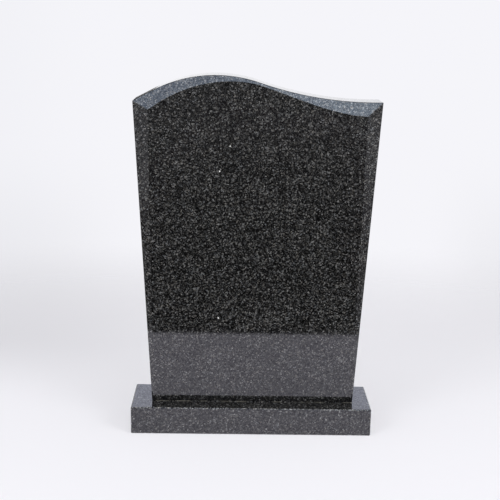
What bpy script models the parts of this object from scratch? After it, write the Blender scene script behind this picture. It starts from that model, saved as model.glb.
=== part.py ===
# A polished granite headstone on a rectangular base.
# The headstone tapers towards its foot and has an ogee top. Its front carries a bevel that is
# widest at the two top corners and fades along the top towards the middle and down both sides.
# Metres, +Z up, the front faces -Y, and the origin is the middle of the base's underside.

import math

import bmesh
import bpy

# The base.
BASE_WIDTH = 0.652
BASE_DEPTH = 0.168
BASE_HEIGHT = 0.0765
BASE_ARRIS = 0.0025

# The headstone's body and where it stands on the base.
STONE_THICKNESS = 0.102
FOOT_WIDTH = 0.5505
SIDE_LEAN = 0.057           # how far each side leans out per metre of height
STONE_ARRIS = 0.0018
FRONT_SETBACK = 0.046       # from the base's front to the headstone's face
SIDE_OFFSET = 0.0035        # the headstone stands this far to the right of the base's middle
JOINT_GAP = 0.0003          # between the headstone's foot and the base

# The ogee: a straight shoulder, a crown arc, and a hollow arc that runs out to the right.
# Heights are above the headstone's foot.
SHOULDER_X = -0.268         # left of this the top is straight
CROWN_HEIGHT = 0.8852
CROWN_X = -0.104
CROWN_RADIUS = 0.353
TURN_X = 0.005
HOLLOW_RADIUS = 0.943
TOP_STATIONS = 40           # straight runs along the whole top

# The front bevel. Widths are measured across it on the front.
BEVEL_FALL = 0.40           # how far it falls back per metre of width
BEVEL_LEAST = 0.0060
BEVEL_LEAST_X = 0.006
BEVEL_EASING = 0.008        # rounds the turn of the bevel's inner line at its least width
BEVEL_AT_CORNER = {-1: 0.0374, 1: 0.0350}   # left and right
BEVEL_SWELL = {-1: 0.15, 1: 1.0}            # 0 widens it evenly up to the mitre, 1 in a full S
BEVEL_SIDE_AT_CORNER = 0.0400
BEVEL_SIDE_AT_FOOT = 0.0030

# Edges sharper than this get an arris. The bevel's own inner line and mitres stay crisp.
ARRIS_ANGLE = math.radians(45.0)
ARRIS_SEGMENTS = 2


def ogee(x):
    # Height of the top's outer line and its slope, x metres right of the headstone's middle.
    if x < SHOULDER_X:
        height, slope = ogee(SHOULDER_X)
        return height + slope * (x - SHOULDER_X), slope
    if x <= TURN_X:
        run = x - CROWN_X
        rise = math.sqrt(CROWN_RADIUS ** 2 - run ** 2)
        return CROWN_HEIGHT - CROWN_RADIUS + rise, -run / rise
    turn_height, turn_slope = ogee(TURN_X)
    length = math.hypot(1.0, turn_slope)
    centre_x = TURN_X - HOLLOW_RADIUS * turn_slope / length
    centre_z = turn_height + HOLLOW_RADIUS / length
    run = x - centre_x
    drop = math.sqrt(HOLLOW_RADIUS ** 2 - run ** 2)
    return centre_z - drop, run / drop


def top_corner(side):
    # Where a side, leaning out from the foot, meets the ogee. side is -1 left, 1 right.
    x = side * FOOT_WIDTH / 2
    for _ in range(20):
        x = side * (FOOT_WIDTH / 2 + SIDE_LEAN * ogee(x)[0])
    return x


def bevel_width(x):
    # Width of the top bevel, from its least near the middle to its most at the mitres.
    side = -1 if x < BEVEL_LEAST_X else 1
    reach = abs(top_corner(side) - side * BEVEL_SIDE_AT_CORNER - BEVEL_LEAST_X)
    share = (math.hypot(x - BEVEL_LEAST_X, BEVEL_EASING) - BEVEL_EASING) / reach
    share += BEVEL_SWELL[side] * (share ** 2 * (3 - 2 * share) - share)
    return BEVEL_LEAST + (BEVEL_AT_CORNER[side] - BEVEL_LEAST) * share


def inner_line(x):
    # Height of the top bevel's inner line on the front face.
    height, slope = ogee(x)
    return height - bevel_width(x) * math.hypot(1.0, slope)


def new_material(name, color, roughness):
    material = bpy.data.materials.new(name)
    material.use_nodes = True
    shader = material.node_tree.nodes["Principled BSDF"]
    shader.inputs["Base Color"].default_value = (*color, 1.0)
    shader.inputs["Roughness"].default_value = roughness
    shader.inputs["Metallic"].default_value = 0.0
    return material


def add_object(name, mesh_data, material, location, parent):
    mesh = bpy.data.meshes.new(name)
    mesh_data.to_mesh(mesh)
    mesh_data.free()
    mesh.materials.append(material)
    thing = bpy.data.objects.new(name, mesh)
    thing.location = location
    thing.parent = parent
    bpy.context.scene.collection.objects.link(thing)
    return thing


def add_arris(thing, width):
    arris = thing.modifiers.new("arris", "BEVEL")
    arris.width = width
    arris.segments = ARRIS_SEGMENTS
    arris.limit_method = "ANGLE"
    arris.angle_limit = ARRIS_ANGLE


def headstone_mesh():
    # Three loops of points, each from the left foot over the top to the right foot: the flat
    # front's edge, the bevel's outer edge, and the back's edge.
    left, right = top_corner(-1), top_corner(1)
    front = [(-FOOT_WIDTH / 2 + BEVEL_SIDE_AT_FOOT, 0.0, 0.0)]
    outer = [(-FOOT_WIDTH / 2, BEVEL_FALL * BEVEL_SIDE_AT_FOOT, 0.0)]
    for i in range(TOP_STATIONS + 1):
        share = i / TOP_STATIONS
        outer_x = left + (right - left) * share
        inner_x = outer_x + BEVEL_SIDE_AT_CORNER * (1 - 2 * share)
        front.append((inner_x, 0.0, inner_line(inner_x)))
        outer.append((outer_x, BEVEL_FALL * bevel_width(inner_x), ogee(outer_x)[0]))
    front.append((FOOT_WIDTH / 2 - BEVEL_SIDE_AT_FOOT, 0.0, 0.0))
    outer.append((FOOT_WIDTH / 2, BEVEL_FALL * BEVEL_SIDE_AT_FOOT, 0.0))
    back = [(x, STONE_THICKNESS, z) for x, _, z in outer]

    mesh = bmesh.new()
    loops = [[mesh.verts.new(point) for point in loop] for loop in (front, outer, back)]
    for near, far in zip(loops, loops[1:]):
        for i in range(len(near) - 1):
            mesh.faces.new((near[i], far[i], far[i + 1], near[i + 1]))
    mesh.faces.new(loops[0])
    mesh.faces.new(reversed(loops[2]))
    foot = [loops[0][-1], loops[1][-1], loops[2][-1], loops[2][0], loops[1][0], loops[0][0]]
    mesh.faces.new(foot)
    bmesh.ops.recalc_face_normals(mesh, faces=mesh.faces)
    return mesh


def base_mesh():
    mesh = bmesh.new()
    bmesh.ops.create_cube(mesh, size=1.0)
    bmesh.ops.scale(mesh, vec=(BASE_WIDTH, BASE_DEPTH, BASE_HEIGHT), verts=mesh.verts)
    bmesh.ops.translate(mesh, vec=(0.0, 0.0, BASE_HEIGHT / 2), verts=mesh.verts)
    return mesh


def build():
    for thing in list(bpy.data.objects):
        bpy.data.objects.remove(thing, do_unlink=True)
    memorial = bpy.data.objects.new("memorial", None)
    bpy.context.scene.collection.objects.link(memorial)

    base_granite = new_material("base_granite", (0.030, 0.030, 0.032), 0.12)
    base = add_object("base", base_mesh(), base_granite, (0.0, 0.0, 0.0), memorial)
    add_arris(base, BASE_ARRIS)

    stone_granite = new_material("headstone_granite", (0.026, 0.026, 0.027), 0.08)
    face_y = FRONT_SETBACK - BASE_DEPTH / 2
    place = (SIDE_OFFSET, face_y, BASE_HEIGHT + JOINT_GAP)
    headstone = add_object("headstone", headstone_mesh(), stone_granite, place, memorial)
    add_arris(headstone, STONE_ARRIS)


build()
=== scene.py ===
# The looks of a polished granite headstone on its base, on a pale studio floor.
# Metres, +Z up, the front faces -Y, and the origin is the middle of the base's underside.

import math

import bmesh
import bpy
from mathutils import Matrix, Vector


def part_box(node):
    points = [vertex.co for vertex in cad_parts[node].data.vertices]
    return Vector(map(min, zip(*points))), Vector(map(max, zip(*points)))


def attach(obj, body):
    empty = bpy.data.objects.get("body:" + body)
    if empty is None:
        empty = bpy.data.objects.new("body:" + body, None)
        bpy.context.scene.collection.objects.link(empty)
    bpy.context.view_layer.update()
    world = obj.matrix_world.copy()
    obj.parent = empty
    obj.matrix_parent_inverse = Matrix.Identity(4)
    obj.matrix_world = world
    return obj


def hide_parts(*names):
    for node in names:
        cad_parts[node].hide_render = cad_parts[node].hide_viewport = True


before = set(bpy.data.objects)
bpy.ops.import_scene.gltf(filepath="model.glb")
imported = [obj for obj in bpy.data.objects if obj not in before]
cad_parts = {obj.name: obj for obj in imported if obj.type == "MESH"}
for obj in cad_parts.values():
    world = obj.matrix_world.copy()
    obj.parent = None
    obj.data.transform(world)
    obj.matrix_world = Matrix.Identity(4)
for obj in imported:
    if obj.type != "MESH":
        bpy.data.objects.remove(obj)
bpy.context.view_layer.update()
print("frame: nodes", sorted(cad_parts))


class Wire:
    # A node's output. Python's operators on it add Math nodes to its tree.
    def __init__(self, bench, source, output):
        self.bench = bench
        self.source = source
        self.output = output

    def socket(self):
        return self.source.outputs[self.output]

    def maths(self, operation, *values):
        return self.bench.node("ShaderNodeMath", {"operation": operation}, dict(enumerate(values)))

    def also(self, output):  # another output of the same node
        return Wire(self.bench, self.source, output)

    def __add__(self, other):
        return self.maths("ADD", self, other)

    def __radd__(self, other):
        return self.maths("ADD", other, self)

    def __sub__(self, other):
        return self.maths("SUBTRACT", self, other)

    def __rsub__(self, other):
        return self.maths("SUBTRACT", other, self)

    def __mul__(self, other):
        return self.maths("MULTIPLY", self, other)

    def __rmul__(self, other):
        return self.maths("MULTIPLY", other, self)

    def __truediv__(self, other):
        return self.maths("DIVIDE", self, other)

    def __rtruediv__(self, other):
        return self.maths("DIVIDE", other, self)

    def __gt__(self, other):
        return self.maths("GREATER_THAN", self, other)

    def __lt__(self, other):
        return self.maths("LESS_THAN", self, other)

    def root(self):
        return self.maths("SQRT", self)

    def squared(self):
        return self.maths("MULTIPLY", self, self)

    def size(self):  # without its sign
        return self.maths("ABSOLUTE", self)

    def atMost(self, other):
        return self.maths("MINIMUM", self, other)

    def atLeast(self, other):
        return self.maths("MAXIMUM", self, other)

    def to(self, other, share):  # from this to other, as share goes from 0 to 1
        return self + (other - self) * share

    def eased(self, low, high):  # 0 up to low, 1 from high on, and a smooth rise between them
        limits = {"From Min": low, "From Max": high, "Value": self}
        return self.bench.node("ShaderNodeMapRange", {"interpolation_type": "SMOOTHSTEP"}, limits)


class Bench:
    # A node tree on which nodes are laid out and wired.
    def __init__(self, tree):
        self.tree = tree

    def node(self, kind, settings=None, sockets=None, output=0):
        made = self.tree.nodes.new(kind)
        for name, value in (settings or {}).items():
            if name == "stops":
                self.setStops(made.color_ramp, value)
            else:
                setattr(made, name, value)
        for name, value in (sockets or {}).items():
            for part in value if isinstance(value, list) else [value]:
                if isinstance(part, Wire):
                    self.tree.links.new(part.socket(), made.inputs[name])
                else:
                    made.inputs[name].default_value = part
        return Wire(self, made, output)

    def setStops(self, ramp, stops):
        while len(ramp.elements) < len(stops):
            ramp.elements.new(1.0)
        for element, (place, colour) in zip(ramp.elements, stops):
            element.position = place
            element.color = (*colour, 1.0)

    def mixed(self, first, second, share, blend="MIX"):  # two colours
        settings = {"data_type": "RGBA", "blend_type": blend}
        return self.node("ShaderNodeMix", settings, {0: share, 6: first, 7: second}, 2)

    def scaled(self, vector, factor):
        settings = {"operation": "SCALE"}
        return self.node("ShaderNodeVectorMath", settings, {"Vector": vector, "Scale": factor})


def newMaterial(name):
    material = bpy.data.materials.new(name)
    material.use_nodes = True
    material.node_tree.nodes.clear()
    return material, Bench(material.node_tree)


# The camera stands a little left of the middle and above the top, and looks down at the object.
cameraPlace = {
    "position": (-0.0528, -2.5152, 1.1348),
    "yaw": 0.981,        # degrees to the right of straight ahead
    "pitch": 14.202,     # degrees below level
    "roll": 1.055,       # degrees
    "lens": 69.61,
    "sensor": 36.0,
}


def addCamera(place):
    data = bpy.data.cameras.new("camera")
    data.sensor_width = place["sensor"]
    data.lens = place["lens"]
    camera = bpy.data.objects.new("camera", data)
    yaw, pitch, roll = (math.radians(place[turn]) for turn in ("yaw", "pitch", "roll"))
    tilt = Matrix.Rotation(math.pi / 2 - pitch, 4, "X") @ Matrix.Rotation(roll, 4, "Z")
    turn = Matrix.Rotation(-yaw, 4, "Z")
    camera.matrix_world = Matrix.Translation(place["position"]) @ turn @ tilt
    bpy.context.scene.collection.objects.link(camera)
    bpy.context.scene.camera = camera


# Granite: interlocked grains with finer crumbs among them, each with a tone, a tint and a polish
# of its own.
graniteLook = {
    "grain": 0.0033,          # metres across a usual grain
    "crumb": 0.0018,          # metres across a fine one
    "crumbShare": 0.36,       # how much the fine ones count in the stone's tone
    "wander": 0.0012,         # how far the grains' outlines stray
    "ripple": 800.0,          # how finely they stray
    "rippleDetail": 1.0,
    "tones": (                # share of the grains up to here, and their grey
        (0.00, 0.000),
        (0.37, 0.000),
        (0.53, 0.008),
        (0.70, 0.026),
        (0.87, 0.066),
        (1.00, 0.186),
    ),
    "warm": (1.06, 1.00, 0.90),       # the grains' tints lie between these two
    "cool": (0.95, 1.00, 1.06),
    "cloud": 0.055,           # metres across the paler and darker patches
    "cloudDepth": 0.35,
    "cloudDetail": 3.0,
    "fleck": 0.0030,          # metres across the pale flecks
    "fleckShare": 0.030,      # of the stone's cells
    "fleckColour": (0.24, 0.24, 0.235),
    "glintShare": 0.00004,
    "glintColour": (0.90, 0.90, 0.88),
    "ior": 1.575,
    "mirrorTint": (0.885, 0.862, 1.0),
    "glazeIor": 1.60,
    "glazeLow": 0.05,         # the polish takes better on some grains than on others
    "glazeHigh": 0.86,
    "glazeRough": 0.045,
    "jointHeight": 0.0767,    # metres over the ground, where the headstone meets the base
    # painted shade: the headstone's colour is darkened over the joint, where the base's ledge
    # shades its foot
    "paintedShadeRise": (0.008, 0.018),       # the headstone is darker up to here over the joint
    "paintedShadeDepth": 0.42,
    # painted highlight: the pale, broken line along the joint stands for light caught there
    "jointHighlightHeight": 0.0009,     # of the pale, broken line along the joint, over the joint
    "jointHighlightThick": (0.0003, 0.0009),
    "jointHighlightBreaks": 24.0,
    "jointHighlightGaps": (0.45, 0.60),
    "jointHighlightColour": (0.60, 0.57, 0.48),
}

# Each finish of the granite: how rough it is, how much paler than the polish, how many flecks it
# shows against the polish, how much clear polish lies over it, and how many metres its grains
# stand out. The headstone's edges are eased, the base's are honed, and the headstone's foot is as
# the saw left it, but painted paler still, for a painted highlight along the joint.
polish = {"roughLow": 0.030, "roughHigh": 0.075, "pale": 1.0, "flecks": 1.0, "glaze": 1.0,
          "relief": 0.000004}
# Painted light: the bevels' finishes are the polish painted paler and more flecked, as lit copies
# of the face's granite; only their roughness and relief are their own.
bevelPolishPaintedLit = {"roughLow": 0.040, "roughHigh": 0.090, "pale": 1.7, "flecks": 3.5, "glaze": 1.0,
               "relief": 0.000006}
sidePolishPaintedLit = {"roughLow": 0.040, "roughHigh": 0.090, "pale": 1.35, "flecks": 1.5, "glaze": 1.0,
              "relief": 0.000004}
easedEdge = {"roughLow": 0.06, "roughHigh": 0.14, "pale": 0.5, "flecks": 1.0, "glaze": 0.0,
             "relief": 0.000008}
honedEdge = {"roughLow": 0.16, "roughHigh": 0.40, "pale": 3.2, "flecks": 6.0, "glaze": 0.0,
             "relief": 0.000060}
# the sawn foot is painted paler still, for a highlight along the joint
sawnEdgePaintedLit = {"roughLow": 0.50, "roughHigh": 0.80, "pale": 22.0, "flecks": 8.0, "glaze": 0.0,
            "relief": 0.000100}


def graniteMaterial(name, look, finish):
    material, bench = newMaterial(name)
    place = bench.node("ShaderNodeTexCoord", output="Object")

    # Grains and crumbs are Voronoi cells, seen through a ripple that makes their outlines ragged.
    stray = bench.node("ShaderNodeTexNoise", sockets={
        "Vector": place, "Scale": look["ripple"], "Detail": look["rippleDetail"]}, output="Color")
    centred = bench.node("ShaderNodeVectorMath", {"operation": "SUBTRACT"},
                         {0: stray, 1: (0.5, 0.5, 0.5)})
    strayed = bench.node("ShaderNodeVectorMath", {"operation": "ADD"},
                         {0: place, 1: bench.scaled(centred, 2.0 * look["wander"])})

    def cellChance(across):  # three numbers from 0 to 1 for each cell
        cells = bench.node("ShaderNodeTexVoronoi", sockets={
            "Vector": strayed, "Scale": 1.0 / across}, output="Color")
        return bench.node("ShaderNodeSeparateColor", sockets={"Color": cells}, output="Red")

    chance = cellChance(look["grain"])
    crumbChance = cellChance(look["crumb"])
    spotChance = cellChance(look["fleck"])
    stops = [(share, (grey, grey, grey)) for share, grey in look["tones"]]
    tones = [bench.node("ShaderNodeValToRGB", {"stops": stops}, {"Fac": cell})
             for cell in (chance, crumbChance)]
    tone = bench.mixed(*tones, look["crumbShare"])
    tint = bench.mixed((*look["warm"], 1.0), (*look["cool"], 1.0), chance.also("Green"))
    tinted = bench.mixed(tone, tint, 1.0, "MULTIPLY")

    # Slow clouds of paler and darker stone.
    cloud = bench.node("ShaderNodeTexNoise", sockets={
        "Vector": place, "Scale": 1.0 / look["cloud"], "Detail": look["cloudDetail"]})
    stone = bench.scaled(tinted, finish["pale"] * (1.0 + look["cloudDepth"] * 2.0 * (cloud - 0.5)))

    # Painted shade: the headstone's colour darkens just over the joint, where the base's ledge
    # shades its foot.
    height = bench.node("ShaderNodeSeparateXYZ", sockets={"Vector": place}, output="Z")
    overJoint = height - look["jointHeight"]
    dark = (overJoint > 0.0) * (1.0 - overJoint.eased(*look["paintedShadeRise"]))
    stone = bench.scaled(stone, 1.0 - look["paintedShadeDepth"] * dark)

    # Pale flecks, and a rare glint.
    pale = spotChance > 1.0 - look["fleckShare"] * finish["flecks"]
    flecked = bench.mixed(stone, (*look["fleckColour"], 1.0), pale * spotChance.also("Green"))
    glint = spotChance.also("Blue") > 1.0 - look["glintShare"]
    colour = bench.mixed(flecked, (*look["glintColour"], 1.0), glint)

    # Painted highlight: a pale, broken line along the joint, for the light caught where the
    # headstone meets the base.
    breaks = bench.node("ShaderNodeTexNoise", sockets={
        "Vector": place, "Scale": look["jointHighlightBreaks"]})
    jointHighlight = 1.0 - (overJoint - look["jointHighlightHeight"]).size().eased(*look["jointHighlightThick"])
    shown = jointHighlight * breaks.eased(*look["jointHighlightGaps"])
    colour = bench.mixed(colour, (*look["jointHighlightColour"], 1.0), shown)

    roughRange = finish["roughHigh"] - finish["roughLow"]
    rough = crumbChance.also("Green") * roughRange + finish["roughLow"]
    glaze = chance.also("Blue") * (look["glazeHigh"] - look["glazeLow"]) + look["glazeLow"]
    relief = bench.node("ShaderNodeBump", sockets={"Height": chance, "Distance": finish["relief"]},
                        output="Normal")
    surface = bench.node("ShaderNodeBsdfPrincipled", sockets={
        "Base Color": colour, "Roughness": rough, "Normal": relief, "IOR": look["ior"],
        "Specular Tint": (*look["mirrorTint"], 1.0), "Coat Weight": glaze * finish["glaze"],
        "Coat Roughness": look["glazeRough"], "Coat IOR": look["glazeIor"]})
    bench.node("ShaderNodeOutputMaterial", sockets={"Surface": surface})
    return material


polishedGranite = graniteMaterial("polished granite", graniteLook, polish)
bevelGranite = graniteMaterial("top bevel", graniteLook, bevelPolishPaintedLit)
sideGranite = graniteMaterial("side bevels", graniteLook, sidePolishPaintedLit)
easedGranite = graniteMaterial("eased edge", graniteLook, easedEdge)
honedGranite = graniteMaterial("honed edge", graniteLook, honedEdge)
sawnGranitePaintedLit = graniteMaterial("sawn edge", graniteLook, sawnEdgePaintedLit)
print("materials: granite in its six finishes")


# The headstone. Heights are above its foot, and places across are from its own middle.
headstoneSizes = {
    "foot width": 0.5505,
    "side lean": 0.057,             # how far each side leans out per metre of height
    "thickness": 0.102,
    "shoulder x": -0.268,           # left of this the top is straight
    "crown height": 0.8852,
    "crown x": -0.104,
    "crown radius": 0.353,
    "turn x": 0.005,                # where the crown's arc turns into the hollow one
    "hollow radius": 0.943,
    "bevel fall": 0.40,             # how far the bevel falls back per metre of width
    "bevel least": 0.0060,
    "bevel least x": 0.006,
    "bevel easing": 0.008,
    "bevel at left": 0.0374,
    "bevel at right": 0.0350,
    "swell left": 0.15,             # 0 widens the bevel evenly up to the mitre, 1 in a full S
    "swell right": 1.0,
    "side bevel at corner": 0.0400,
    "side bevel at foot": 0.0030,
    "middle x": 0.0035,             # the headstone's middle, to the right of the base's
}
headstoneFinish = {
    "stations": 96,                 # straight runs along the whole top
    "weld": 0.00001,                # points nearer than this are one
    "arris": 0.0018,
    "arrisSteps": 4,
    "arrisRound": 0.35,             # 0.25 is flat, 0.5 is round
}
arrisSlot, footSlot, bevelSlot, sideSlot = 1, 2, 3, 4       # in a piece's granites; 0 is its polish
frontTilt = 0.5                     # a face looks to the front by at least this much, of 1
bevelTilt = 0.2                     # how far a bevel looks up or sideways, against the face's 0
crispAngle = math.radians(17)       # edges sharper than this stay crisp, as the bevel's line does
arrisAngle = math.radians(45)       # edges sharper than this get an arris
flatWeight = 100                    # how much wide faces rule the shading beside them, of 100


def topOutline(x, size):
    # Height and slope of the ogee: a straight shoulder, a crown arc, then a hollow arc, each of
    # which leaves the last at a tangent.
    onArc = x.atLeast(size["shoulder x"])
    crownRun = onArc - size["crown x"]
    crownRise = (size["crown radius"].squared() - crownRun.squared()).root()
    crownSlope = 0.0 - crownRun / crownRise
    crownHeight = size["crown z"] + crownRise + crownSlope * (x - onArc)
    hollowRun = x - size["hollow x"]
    hollowDrop = (size["hollow radius"].squared() - hollowRun.squared()).root()
    hollowHeight = size["hollow z"] - hollowDrop
    hollow = x > size["turn x"]
    return crownHeight.to(hollowHeight, hollow), crownSlope.to(hollowRun / hollowDrop, hollow)


def addHollowCentre(size):
    # The hollow arc's centre lies on the line from the crown arc's centre through the turn.
    turnRun = size["turn x"] - size["crown x"]
    turnRise = (size["crown radius"].squared() - turnRun.squared()).root()
    reach = size["hollow radius"] / size["crown radius"] + 1.0
    size["crown z"] = size["crown height"] - size["crown radius"]
    size["hollow x"] = size["crown x"] + turnRun * reach
    size["hollow z"] = size["crown z"] + turnRise * reach


def leftCorner(size):
    # Where the left side, leaning out from the foot, meets the straight shoulder.
    shoulderHeight, slope = topOutline(size["shoulder x"], size)
    footX = 0.0 - size["foot width"] / 2.0
    lean = size["side lean"]
    height = (shoulderHeight + slope * (footX - size["shoulder x"])) / (slope * lean + 1.0)
    return footX - lean * height


def rightCorner(size):
    # Where the right side meets the hollow arc.
    footX, lean = size["foot width"] / 2.0, size["side lean"]
    shift = footX - size["hollow x"]
    square = lean.squared() + 1.0
    linear = lean * shift - size["hollow z"]
    rest = shift.squared() + size["hollow z"].squared() - size["hollow radius"].squared()
    height = (0.0 - linear - (linear.squared() - square * rest).root()) / square
    return footX + lean * height


def bevelWidth(x, size):
    # Width of the top bevel, from its least near the middle to its most at the mitres.
    least, easing = size["bevel least x"], size["bevel easing"]
    onRight = x > least
    leftMitre = size["left corner"] + size["side bevel at corner"]
    rightMitre = size["right corner"] - size["side bevel at corner"]
    away = ((x - least).squared() + easing.squared()).root() - easing
    share = away / (leftMitre.to(rightMitre, onRight) - least).size()
    swelling = share.to(share.squared() * (3.0 - 2.0 * share),
                        size["swell left"].to(size["swell right"], onRight))
    widest = size["bevel at left"].to(size["bevel at right"], onRight)
    return size["bevel least"].to(widest, swelling)


def outlinePlaces(bench, station, count, size):
    # Three loops of places, each from the left foot over the top to the right foot: the flat
    # front's edge, the bevel's outer edge and the back's edge.
    share = ((station - 1.0) / (count - 3.0)).atLeast(0.0).atMost(1.0)
    side = share * 2.0 - 1.0
    atFoot = (station < 0.5) + (station > count - 1.5)      # the first and the last point
    outerX = size["left corner"].to(size["right corner"], share)
    innerX = outerX - size["side bevel at corner"] * side
    outerZ, _ = topOutline(outerX, size)
    innerTop, slope = topOutline(innerX, size)
    width = bevelWidth(innerX, size)
    innerZ = innerTop - width * (slope.squared() + 1.0).root()

    footX = size["foot width"] / 2.0
    footBevel = size["side bevel at foot"]
    frontX = innerX.to((footX - footBevel) * side, atFoot)
    farX = outerX.to(footX * side, atFoot)
    farZ = outerZ * (1.0 - atFoot)
    bevelY = size["bevel fall"] * width.to(footBevel, atFoot)
    corners = ((frontX, 0.0, innerZ * (1.0 - atFoot)), (farX, bevelY, farZ),
               (farX, size["thickness"], farZ))
    return [bench.node("ShaderNodeCombineXYZ", sockets={
                0: size["middle x"] + x, 1: size["face y"] + y, 2: size["foot z"] + z})
            for x, y, z in corners]


def headstoneTree(sizes, count, weld, material):
    tree = bpy.data.node_groups.new("headstone form", "GeometryNodeTree")
    for name in sizes:
        tree.interface.new_socket(name=name, in_out="INPUT", socket_type="NodeSocketFloat")
    tree.interface.new_socket(name="Geometry", in_out="OUTPUT", socket_type="NodeSocketGeometry")
    bench = Bench(tree)
    given = bench.node("NodeGroupInput")
    size = {name: given.also(name) for name in sizes}
    addHollowCentre(size)
    size["left corner"] = leftCorner(size)
    size["right corner"] = rightCorner(size)

    # The flat front starts as a ring with one face, whose points are numbered.
    ring = bench.node("GeometryNodeMeshCircle", {"fill_type": "NGON"}, {"Vertices": count})
    number = bench.node("GeometryNodeInputIndex")
    numbered = bench.node("GeometryNodeStoreNamedAttribute", {"data_type": "FLOAT"},
                          {"Geometry": ring, "Name": "station", "Value": number})
    station = bench.node("GeometryNodeInputNamedAttribute", {"data_type": "FLOAT"},
                         {"Name": "station"})
    front, bevelEdge, back = outlinePlaces(bench, station, count, size)
    face = bench.node("GeometryNodeSetPosition", sockets={"Geometry": numbered, "Position": front})

    # The face is drawn back twice, to the bevel's outer edge and to the back.
    body, top = face, True
    for edge in (bevelEdge, back):
        body = bench.node("GeometryNodeExtrudeMesh", {"mode": "FACES"}, {
            "Mesh": body, "Selection": top, "Offset Scale": 0.0, "Individual": False})
        top = body.also("Top")
        body = bench.node("GeometryNodeSetPosition", sockets={
            "Geometry": body, "Selection": top, "Position": edge})
    lid = bench.node("GeometryNodeFlipFaces", sockets={"Mesh": face})
    joined = bench.node("GeometryNodeJoinGeometry", sockets={"Geometry": [body, lid]})
    closed = bench.node("GeometryNodeMergeByDistance", sockets={
        "Geometry": joined, "Distance": weld})
    bare = bench.node("GeometryNodeRemoveAttribute", sockets={
        "Geometry": closed, "Name": "station"})
    real = bench.node("GeometryNodeRealizeInstances", sockets={"Geometry": bare})
    faced = bench.node("GeometryNodeSetMaterial", sockets={"Geometry": real, "Material": material})
    bench.node("NodeGroupOutput", sockets={"Geometry": faced})
    return tree


def bakedMesh(thing):
    # What the object's modifiers make of it, as a plain mesh.
    bpy.context.view_layer.update()
    shown = thing.evaluated_get(bpy.context.evaluated_depsgraph_get())
    return bpy.data.meshes.new_from_object(shown)


def graniteSlot(face, foot):
    # Which of its piece's granites a face is finished with.
    if face.material_index == arrisSlot:
        return footSlot if max(point.co.z for point in face.verts) < foot else arrisSlot
    if face.normal.y > -frontTilt:
        return 0
    # Bevels that look up or sideways take the granites painted lighter.
    if face.normal.z > bevelTilt:
        return bevelSlot
    return sideSlot if abs(face.normal.x) > bevelTilt else 0


def easeArrises(mesh, finish):
    # Eases the outer edges, and gives every face its granite.
    form = bmesh.new()
    form.from_mesh(mesh)
    width = finish["arris"]
    foot = min(point.co.z for point in form.verts) + 2 * width
    sharp = [edge for edge in form.edges if edge.calc_face_angle(0.0) > arrisAngle]
    bmesh.ops.bevel(form, geom=sharp, offset=width, offset_type="OFFSET", affect="EDGES",
                    segments=finish["arrisSteps"], profile=finish["arrisRound"],
                    material=arrisSlot, clamp_overlap=True)
    for face in form.faces:
        face.material_index = graniteSlot(face, foot)
    print("  volume", round(form.calc_volume(signed=True), 6), "faces", len(form.faces))
    form.to_mesh(mesh)
    form.free()


def finishPiece(piece, finish, granites):
    piece.data.materials.clear()
    for granite in granites:
        piece.data.materials.append(granite)
    easeArrises(piece.data, finish)
    piece.data.shade_smooth()
    piece.data.set_sharp_from_angle(angle=crispAngle)
    flat = piece.modifiers.new("flat faces", "WEIGHTED_NORMAL")
    flat.keep_sharp = True
    flat.weight = flatWeight


def makeHeadstone():
    low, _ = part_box("headstone")
    sizes = {**headstoneSizes, "face y": low.y, "foot z": low.z}
    count = headstoneFinish["stations"] + 3         # the top's points and the two at the foot
    piece = bpy.data.objects.new("headstone_dressed", bpy.data.meshes.new("headstone_dressed"))
    bpy.context.scene.collection.objects.link(piece)
    former = piece.modifiers.new("form", "NODES")
    former.node_group = headstoneTree(sizes, count, headstoneFinish["weld"], polishedGranite)
    for socket in former.node_group.interface.items_tree:
        if socket.in_out == "INPUT":
            former[socket.identifier] = sizes[socket.name]
    mesh = bakedMesh(piece)
    piece.modifiers.remove(former)
    piece.data = mesh
    finishPiece(piece, headstoneFinish, (polishedGranite, easedGranite, sawnGranitePaintedLit, bevelGranite,
                                         sideGranite))
    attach(piece, "root")
    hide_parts("headstone")


baseFinish = {"arris": 0.0025, "arrisSteps": 4, "arrisRound": 0.35}


def makeBase():
    low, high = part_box("base")
    form = bmesh.new()
    bmesh.ops.create_cube(form, size=1.0)
    bmesh.ops.scale(form, vec=high - low, verts=form.verts)
    bmesh.ops.translate(form, vec=(high + low) / 2, verts=form.verts)
    mesh = bpy.data.meshes.new("base_dressed")
    form.to_mesh(mesh)
    form.free()
    piece = bpy.data.objects.new("base_dressed", mesh)
    bpy.context.scene.collection.objects.link(piece)
    finishPiece(piece, baseFinish, (polishedGranite, honedGranite, honedGranite))
    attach(piece, "root")
    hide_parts("base")


makeHeadstone()
print("headstone made")
makeBase()
print("base made")


# The studio: a pale floor that fades into an even pale surround, a soft light on either side and
# one overhead, and what only the polish mirrors: dark ground round the pale floor, and a bright
# panel above the camera. A pair is where one value starts to turn into the next and where it has
# done so: in metres, or for the surround in parts of 1 along an axis of the line of sight.
surroundLook = {
    "seen": (0.914, 0.912, 0.951),       # as the camera sees it
    "seenLeft": (0.870, 0.872, 0.912),   # and at the far left
    "seenTurn": (-0.32, -0.11),
    "dimDepth": 0.075,                   # it is dimmer low down at the left and the right
    "dimLeft": (-0.21, -0.07),
    "dimRight": (0.19, 0.27),
    "dimLow": (-0.27, -0.13),
    "shed": (0.300, 0.300, 0.315),       # what it sheds on the object and the floor
    "horizon": (1.040, 1.040, 1.070),    # as the polish mirrors it, low down
    "above": (0.935, 0.975, 1.130),      # and higher up
    "aboveRise": (0.05, 0.35),
    "zenith": (0.160, 0.163, 0.172),     # and overhead and in front
    "zenithRise": (0.36, 0.58),
    "frontTurn": (-0.6, -0.1),
}
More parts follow.
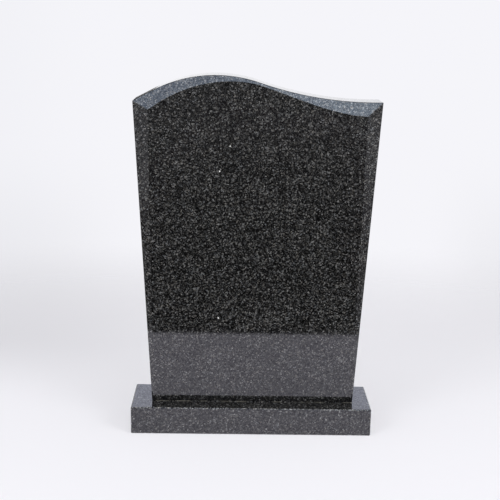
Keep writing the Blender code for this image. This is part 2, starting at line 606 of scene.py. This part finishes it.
floorLook = {
    "size": 7.0,
    "colour": (0.400, 0.397, 0.414),
    "glow": (0.512, 0.508, 0.530),
    "rough": 0.9,
    "ior": 1.05,
    # painted shade: the floor's glow is dimmed at the back on the left
    "dimDepth": 0.145,        # it is dimmer at the back on the left
    "dimLeft": (-0.9, 0.2),
    "dimBack": (0.2, 0.7),
    "fade": (0.75, 2.2),
    "fadeAcross": 0.70,       # how far it fades to the sides, against towards the back
}
softLights = {
    "left": {"place": (-2.0, -2.0, 2.0), "power": 40.0},
    "right": {"place": (2.2, -1.8, 2.0), "power": 47.0},
    "top": {"place": (0.0, -0.4, 3.4), "power": 34.0},
}
lightSize = 1.4
lightAim = (0.0, 0.0, 0.2)
darkFloor = {
    "height": 0.001,
    "size": 120.0,
    "reach": (-0.845, -0.825, 0.840, 0.80),   # left, front, right and back of the pale part
    "soft": 0.016,
    "near": 0.005,            # how bright it is ahead of the face, close by and far off
    "far": 0.096,
    "farRise": (1.0, 8.0),
    "sidesLeft": 0.060,       # and to the sides, close by and far off
    "sidesRight": 0.150,
    "sidesFar": 0.300,
    "sidesRise": (2.4, 4.2),
    "sidesTurn": (0.35, 0.65),        # parts of 1 that a place lies to the side, not ahead
}
panel = {
    "place": (0.0, -2.2, 2.65),
    "tilt": 52.0,             # degrees
    "size": (4.4, 1.2),
    "left": (1.17, 1.42, 1.68),
    "right": (1.74, 2.11, 2.38),
    "turn": (-0.5, 0.5),
}


def addSheet(name, width, depth, place, tilt, material):
    mesh = bpy.data.meshes.new(name)
    corners = [(-width / 2, -depth / 2, 0), (width / 2, -depth / 2, 0),
               (width / 2, depth / 2, 0), (-width / 2, depth / 2, 0)]
    mesh.from_pydata(corners, [], [(0, 1, 2, 3)])
    mesh.materials.append(material)
    sheet = bpy.data.objects.new(name, mesh)
    sheet.matrix_world = Matrix.Translation(place) @ Matrix.Rotation(math.radians(tilt), 4, "X")
    bpy.context.scene.collection.objects.link(sheet)
    return sheet


def onlyInReflections(thing):
    thing.visible_camera = False
    thing.visible_diffuse = False
    thing.visible_shadow = False
    thing.visible_transmission = False


def floorMaterial(look):
    material, bench = newMaterial("pale floor")
    place = bench.node("ShaderNodeTexCoord", output="Object")
    across = bench.node("ShaderNodeSeparateXYZ", sockets={"Vector": place})
    along = across.also("Y")
    away = ((across * look["fadeAcross"]).squared() + along.squared()).root()
    shown = 1.0 - away.eased(*look["fade"])
    # Painted shade: the glow is dimmed towards the back on the left.
    atLeft = 1.0 - across.eased(*look["dimLeft"])
    dim = look["dimDepth"] * atLeft * along.eased(*look["dimBack"])
    surface = bench.node("ShaderNodeBsdfPrincipled", sockets={
        "Base Color": (*look["colour"], 1.0), "Roughness": look["rough"], "IOR": look["ior"],
        "Alpha": shown, "Emission Color": bench.scaled(look["glow"], 1.0 - dim),
        "Emission Strength": 1.0})
    bench.node("ShaderNodeOutputMaterial", sockets={"Surface": surface})
    return material


def glowing(bench, colour):
    return bench.node("ShaderNodeBsdfPrincipled", sockets={
        "Base Color": (0.0, 0.0, 0.0, 1.0), "Specular IOR Level": 0.0, "Emission Color": colour,
        "Emission Strength": 1.0})


def darkFloorMaterial(look):
    material, bench = newMaterial("dark floor beyond")
    place = bench.node("ShaderNodeTexCoord", output="Object")
    across = bench.node("ShaderNodeSeparateXYZ", sockets={"Vector": place})
    left, front, right, back = look["reach"]
    sideways = (left - across).atLeast(across - right)
    along = across.also("Y")
    outward = sideways.atLeast(front - along).atLeast(along - back)
    beyond = outward.eased(-look["soft"] / 2, look["soft"] / 2)
    distance = (across.squared() + along.squared()).root()
    ahead = look["near"] + distance.eased(*look["farRise"]) * (look["far"] - look["near"])
    aside = (across.size() / distance).eased(*look["sidesTurn"])
    sides = look["sidesLeft"] + (across > 0.0) * (look["sidesRight"] - look["sidesLeft"])
    sides = sides.to(look["sidesFar"], distance.eased(*look["sidesRise"]))
    level = ahead.to(sides, aside)
    colour = bench.node("ShaderNodeCombineColor", sockets={0: level, 1: level, 2: level})
    clear = bench.node("ShaderNodeBsdfTransparent")
    glow = glowing(bench, colour)
    surface = bench.node("ShaderNodeMixShader", sockets={0: beyond, 1: clear, 2: glow})
    bench.node("ShaderNodeOutputMaterial", sockets={"Surface": surface})
    return material


def panelMaterial(look):
    material, bench = newMaterial("bright panel")
    place = bench.node("ShaderNodeTexCoord", output="Object")
    across = bench.node("ShaderNodeSeparateXYZ", sockets={"Vector": place})
    colour = bench.mixed((*look["left"], 1.0), (*look["right"], 1.0), across.eased(*look["turn"]))
    bench.node("ShaderNodeOutputMaterial", sockets={"Surface": glowing(bench, colour)})
    return material


def addSurround(look):
    world = bpy.data.worlds.new("surround")
    world.use_nodes = True
    world.node_tree.nodes.clear()
    bench = Bench(world.node_tree)
    ray = bench.node("ShaderNodeLightPath", output="Is Camera Ray")
    direction = bench.node("ShaderNodeTexCoord", output="Generated")
    behind = bench.node("ShaderNodeSeparateXYZ", sockets={"Vector": direction}, output="Y")
    height = behind.also("Z")
    across = behind.also("X")
    turned = across.eased(*look["seenTurn"])
    seen = bench.mixed((*look["seenLeft"], 1.0), (*look["seen"], 1.0), turned)
    atSides = 1.0 - across.eased(*look["dimLeft"]) + across.eased(*look["dimRight"])
    dim = look["dimDepth"] * atSides * (1.0 - height.eased(*look["dimLow"]))
    seen = bench.scaled(seen, 1.0 - dim)
    colour = bench.mixed((*look["shed"], 1.0), seen, ray)
    higher = height.eased(*look["aboveRise"])
    backdrop = bench.mixed((*look["horizon"], 1.0), (*look["above"], 1.0), higher)
    lit = behind.eased(*look["frontTurn"]) * (1.0 - height.eased(*look["zenithRise"]))
    mirrored = bench.mixed((*look["zenith"], 1.0), backdrop, lit)
    colour = bench.mixed(colour, mirrored, ray.also("Is Glossy Ray"))
    light = bench.node("ShaderNodeBackground", sockets={"Color": colour})
    bench.node("ShaderNodeOutputWorld", sockets={"Surface": light})
    bpy.context.scene.world = world
    bpy.context.scene.view_settings.view_transform = "Standard"


def addSoftLight(side, look):
    data = bpy.data.lights.new("soft light " + side, "AREA")
    data.shape = "SQUARE"
    data.size = lightSize
    data.energy = look["power"]
    light = bpy.data.objects.new("soft light " + side, data)
    light.location = look["place"]
    aim = Vector(lightAim) - light.location
    light.rotation_euler = aim.to_track_quat("-Z", "Y").to_euler()
    light.visible_glossy = False
    bpy.context.scene.collection.objects.link(light)


def addStudio():
    addSurround(surroundLook)
    for side, look in softLights.items():
        addSoftLight(side, look)
    pale = floorLook["size"]
    addSheet("floor", pale, pale, (0, 0, 0), 0.0, floorMaterial(floorLook))
    wide, height = darkFloor["size"], darkFloor["height"]
    dark = addSheet("dark floor", wide, wide, (0, 0, height), 0.0, darkFloorMaterial(darkFloor))
    onlyInReflections(dark)
    bright = addSheet("bright panel", *panel["size"], panel["place"], panel["tilt"],
                      panelMaterial(panel))
    onlyInReflections(bright)


addStudio()
addCamera(cameraPlace)
print("studio and camera in place")
